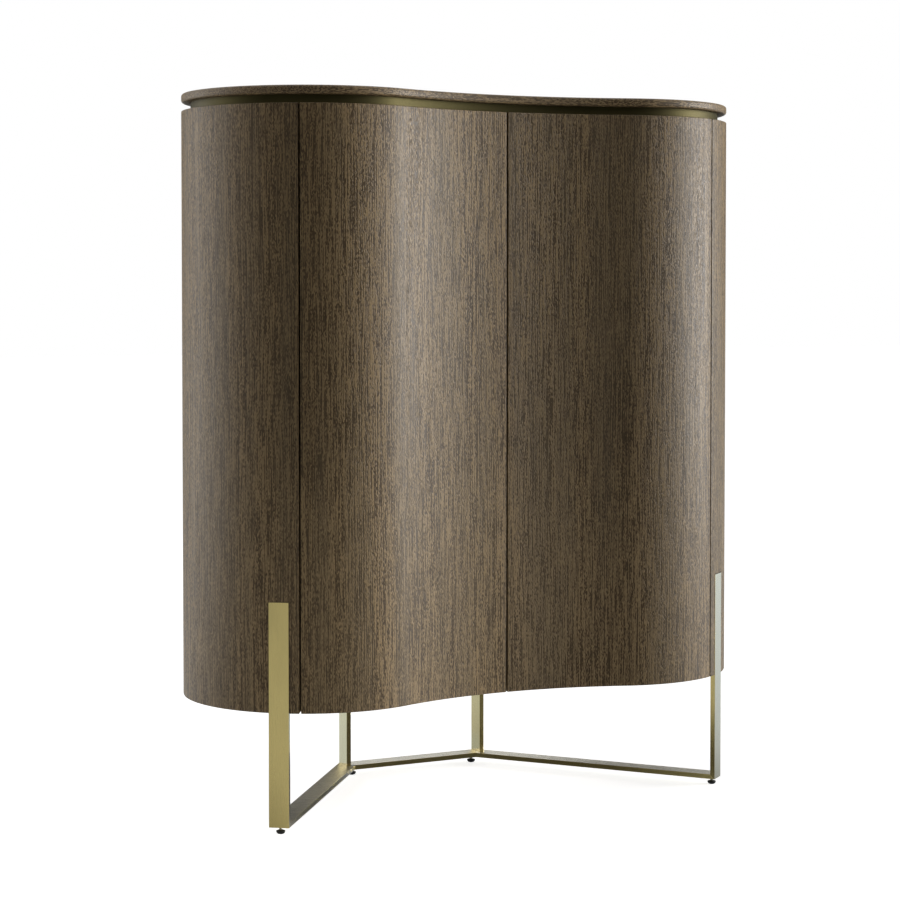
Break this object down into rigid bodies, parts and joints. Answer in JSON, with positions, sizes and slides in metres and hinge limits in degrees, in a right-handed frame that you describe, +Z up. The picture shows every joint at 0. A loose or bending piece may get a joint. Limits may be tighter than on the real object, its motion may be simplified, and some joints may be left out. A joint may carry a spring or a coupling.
{
  "type": "highboard",
  "caption": "Freestanding highboard with two curved doors between rounded end panels, a thin top over a recessed band, and a flat-bar metal floor frame.",
  "frame": {"origin": "on the floor, midway between the sides and between front and back", "axes": "+X to the right seen from the front, +Y towards the back, +Z up"},
  "size_m": [1.2, 0.516, 1.431],
  "materials": {
    "veneer": "open-pored smoked oak veneer, matt lacquer",
    "inside_wood": "oak veneer, matt lacquer",
    "spacer": "black stained",
    "band_metal": "dark brushed",
    "frame_metal": "satin",
    "steel": "nickel plated",
    "black_plastic": "moulded"
  },
  "bodies": {
    "body": {"top_panel": "veneer", "recess_band": "band_metal", "top_spacer": "spacer", "top_deck": "inside_wood", "bottom_deck": "inside_wood", "left_end_panel": "veneer", "right_end_panel": "veneer", "back_panel": "inside_wood", "partition": "inside_wood", "left_lower_shelf": "inside_wood", "left_upper_shelf": "inside_wood", "right_lower_shelf": "inside_wood", "right_upper_shelf": "inside_wood", "left_shelf_pins": "steel", "right_shelf_pins": "steel", "left_hinge_arms": "steel", "right_hinge_arms": "steel", "left_hinge_plates": "steel", "right_hinge_plates": "steel", "left_hinge_screws": "steel", "right_hinge_screws": "steel", "left_latch_housing": "black_plastic", "right_latch_housing": "black_plastic", "latch_screws": "steel", "left_front_leg": "frame_metal", "right_front_leg": "frame_metal", "left_rear_leg": "frame_metal", "right_rear_leg": "frame_metal", "left_side_bar": "frame_metal", "right_side_bar": "frame_metal", "rear_bar": "frame_metal", "left_leg_plate": "frame_metal", "right_leg_plate": "frame_metal", "front_leg_screws": "steel", "leg_plate_screws": "steel", "back_screws": "steel", "carcass_screws": "steel", "top_screws": "steel", "dowels": "inside_wood"},
    "left_door": {"left_door": "veneer", "left_hinge_cups": "steel", "left_strike_plate": "steel"},
    "right_door": {"right_door": "veneer", "right_hinge_cups": "steel", "right_strike_plate": "steel"},
    "left_plunger": {"left_latch_plunger": "steel"},
    "right_plunger": {"right_latch_plunger": "steel"},
    "left_front_foot": {"left_front_foot": "black_plastic", "left_front_stem": "steel"},
    "right_front_foot": {"right_front_foot": "black_plastic", "right_front_stem": "steel"},
    "left_rear_foot": {"left_rear_foot": "black_plastic", "left_rear_stem": "steel"},
    "right_rear_foot": {"right_rear_foot": "black_plastic", "right_rear_stem": "steel"}
  },
  "joints": [
    {"name": "left_door_hinge", "type": "hinge", "parent": "body", "child": "left_door", "pos_m": [-0.46475, -0.22693, 0.8155], "axis": [0, 0, -1], "range_deg": [0, 105]},
    {"name": "right_door_hinge", "type": "hinge", "parent": "body", "child": "right_door", "pos_m": [0.46475, -0.22693, 0.8155], "axis": [0, 0, 1], "range_deg": [0, 105]},
    {"name": "left_plunger_press", "type": "slide", "parent": "body", "child": "left_plunger", "axis": [0, 1, 0], "range_m": [0, 0.003], "stiffness_N_per_m": 200, "springref_m": -0.01},
    {"name": "right_plunger_press", "type": "slide", "parent": "body", "child": "right_plunger", "axis": [0, 1, 0], "range_m": [0, 0.003], "stiffness_N_per_m": 200, "springref_m": -0.01},
    {"name": "left_front_foot_turn", "type": "hinge", "parent": "body", "child": "left_front_foot", "pos_m": [-0.49284, -0.19306, 0.018], "axis": [0, 0, 1], "range_deg": [-1800, 1800]},
    {"name": "left_rear_foot_turn", "type": "hinge", "parent": "body", "child": "left_rear_foot", "pos_m": [-0.14481, 0.238, 0.018], "axis": [0, 0, 1], "range_deg": [-1800, 1800]},
    {"name": "right_front_foot_turn", "type": "hinge", "parent": "body", "child": "right_front_foot", "pos_m": [0.49284, -0.19306, 0.018], "axis": [0, 0, 1], "range_deg": [-1800, 1800]},
    {"name": "right_rear_foot_turn", "type": "hinge", "parent": "body", "child": "right_rear_foot", "pos_m": [0.14481, 0.238, 0.018], "axis": [0, 0, 1], "range_deg": [-1800, 1800]}
  ]
}
